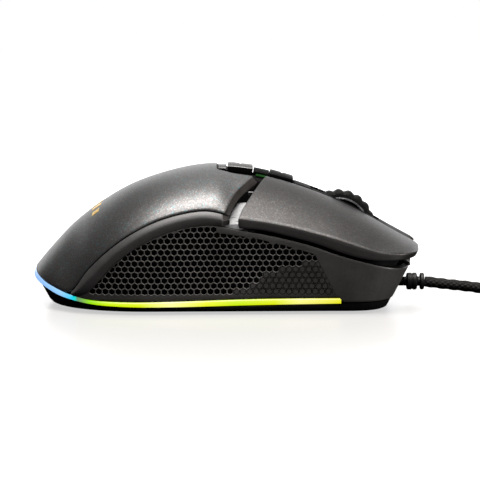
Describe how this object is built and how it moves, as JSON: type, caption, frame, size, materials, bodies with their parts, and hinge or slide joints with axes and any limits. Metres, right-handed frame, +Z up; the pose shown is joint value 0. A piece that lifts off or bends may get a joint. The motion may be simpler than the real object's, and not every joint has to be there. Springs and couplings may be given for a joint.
{
  "type": "computer mouse",
  "caption": "Wired gaming mouse with domed palm cover, honeycomb side walls, split main buttons, scroll wheel, light strip and coiled USB cable.",
  "frame": {"origin": "middle of the mouse in plan, without its cable, on the underside of the feet", "axes": "+X to the mouse's right side, +Y forward towards the cable, +Z up"},
  "size_m": [0.067, 0.2271, 0.0451],
  "materials": {
    "palm_flake": "dark charcoal plastic with fine metallic flake and small blue-green glints",
    "button_grey": "dark grey plastic with fine metallic flake, textured dark skirt",
    "case_black": "finely textured black plastic",
    "panel_grey": "dark grey satin plastic with moulded honeycomb",
    "diffuser": "translucent light guide, lit yellow, green and pale blue along its length",
    "frame_white": "plain white moulding",
    "key_black": "satin black plastic",
    "tyre_rubber": "matt black ribbed rubber",
    "hub_gloss": "dark blue-grey gloss",
    "ring_chrome": "bright ring",
    "steel": "plated steel",
    "board_green": "green solder resist with fine tracks",
    "chip_black": "black epoxy",
    "clear_lens": "clear moulded lens",
    "foot_ptfe": "dark low-friction plastic",
    "boot_rubber": "matt black",
    "braid": "tight black braid",
    "tie_fabric": "black hook-and-loop strap",
    "plug_black": "satin black moulding",
    "plug_metal": "nickel-plated sheet",
    "plunger_white": "plain white moulding, clear dome on the LEDs",
    "tongue_dark": "dark contact carrier"
  },
  "bodies": {
    "case": {"palm_cover": "palm_flake", "right_side_panel": "panel_grey", "left_side_panel": "panel_grey", "front_bezel": "case_black", "light_strip": "diffuser", "base_shell": "case_black", "centre_spine": "key_black", "inner_frame": "frame_white", "wheel_return_spring": "steel", "main_board": "board_green", "dpi_board": "board_green", "side_board": "board_green", "sensor_chip": "chip_black", "sensor_lens": "clear_lens", "controller_chip": "chip_black", "cable_header": "plunger_white", "strip_led_rear": "plunger_white", "strip_led_right": "plunger_white", "strip_led_left": "plunger_white", "right_switch": "chip_black", "left_switch": "chip_black", "wheel_switch": "chip_black", "dpi_plus_switch": "chip_black", "dpi_minus_switch": "chip_black", "side_switch_rear": "chip_black", "side_switch_front": "chip_black", "wheel_emitter": "chip_black", "wheel_receiver": "chip_black", "foot_front": "foot_ptfe", "foot_rear": "foot_ptfe", "foot_ring": "foot_ptfe", "case_screw_1": "steel", "case_screw_2": "steel", "case_screw_3": "steel", "case_screw_4": "steel", "strain_relief": "boot_rubber", "cable": "braid", "cable_lead": "braid", "cable_coil": "braid", "cable_tie": "tie_fabric", "plug_grip": "plug_black", "plug_shell": "plug_metal", "plug_tongue": "tongue_dark"},
    "right_button": {"right_main_button": "button_grey"},
    "left_button": {"left_main_button": "button_grey"},
    "right_switch_plunger": {"right_plunger": "plunger_white"},
    "left_switch_plunger": {"left_plunger": "plunger_white"},
    "wheel_cradle": {"wheel_carrier": "frame_white"},
    "wheel": {"wheel_tyre": "tyre_rubber", "wheel_hub": "hub_gloss", "wheel_ring_right": "ring_chrome", "wheel_ring_left": "ring_chrome", "wheel_axle": "steel"},
    "dpi_plus": {"dpi_plus_button": "key_black"},
    "dpi_minus": {"dpi_minus_button": "key_black"},
    "thumb_rear": {"side_button_rear": "key_black"},
    "thumb_front": {"side_button_front": "key_black"}
  },
  "joints": [
    {"name": "right_button_press", "type": "hinge", "parent": "case", "child": "right_button", "pos_m": [0.019, 0.006, 0.036], "axis": [-1, 0, 0], "range_deg": [0, 1], "stiffness_Nm_per_rad": 1.4, "springref_deg": -0.29},
    {"name": "left_button_press", "type": "hinge", "parent": "case", "child": "left_button", "pos_m": [-0.019, 0.006, 0.036], "axis": [-1, 0, 0], "range_deg": [0, 1], "stiffness_Nm_per_rad": 1.4, "springref_deg": -0.29},
    {"name": "right_plunger_travel", "type": "slide", "parent": "case", "child": "right_switch_plunger", "axis": [0, 0, -1], "range_m": [0, 0.0007]},
    {"name": "left_plunger_travel", "type": "slide", "parent": "case", "child": "left_switch_plunger", "axis": [0, 0, -1], "range_m": [0, 0.0007]},
    {"name": "wheel_press", "type": "slide", "parent": "case", "child": "wheel_cradle", "axis": [0, 0, -1], "range_m": [0, 0.0005], "stiffness_N_per_m": 1200, "springref_m": -0.0003, "deforming": ["wheel_return_spring"]},
    {"name": "wheel_spin", "type": "hinge", "parent": "wheel_cradle", "child": "wheel", "pos_m": [0, 0.0353, 0.0248], "axis": [1, 0, 0], "continuous": true},
    {"name": "dpi_plus_press", "type": "slide", "parent": "case", "child": "dpi_plus", "axis": [0, 0, -1], "range_m": [0, 0.0004], "stiffness_N_per_m": 1000, "springref_m": -0.0002},
    {"name": "dpi_minus_press", "type": "slide", "parent": "case", "child": "dpi_minus", "axis": [0, 0, -1], "range_m": [0, 0.0004], "stiffness_N_per_m": 1000, "springref_m": -0.0002},
    {"name": "thumb_rear_press", "type": "slide", "parent": "case", "child": "thumb_rear", "axis": [1, 0, 0], "range_m": [0, 0.0006], "stiffness_N_per_m": 800, "springref_m": -0.0002},
    {"name": "thumb_front_press", "type": "slide", "parent": "case", "child": "thumb_front", "axis": [1, 0, 0], "range_m": [0, 0.0006], "stiffness_N_per_m": 800, "springref_m": -0.0002}
  ],
  "couplings": [
    {"joint": "right_plunger_travel", "follows": "right_button_press", "m_per_rad": 0.039},
    {"joint": "left_plunger_travel", "follows": "left_button_press", "m_per_rad": 0.039}
  ]
}
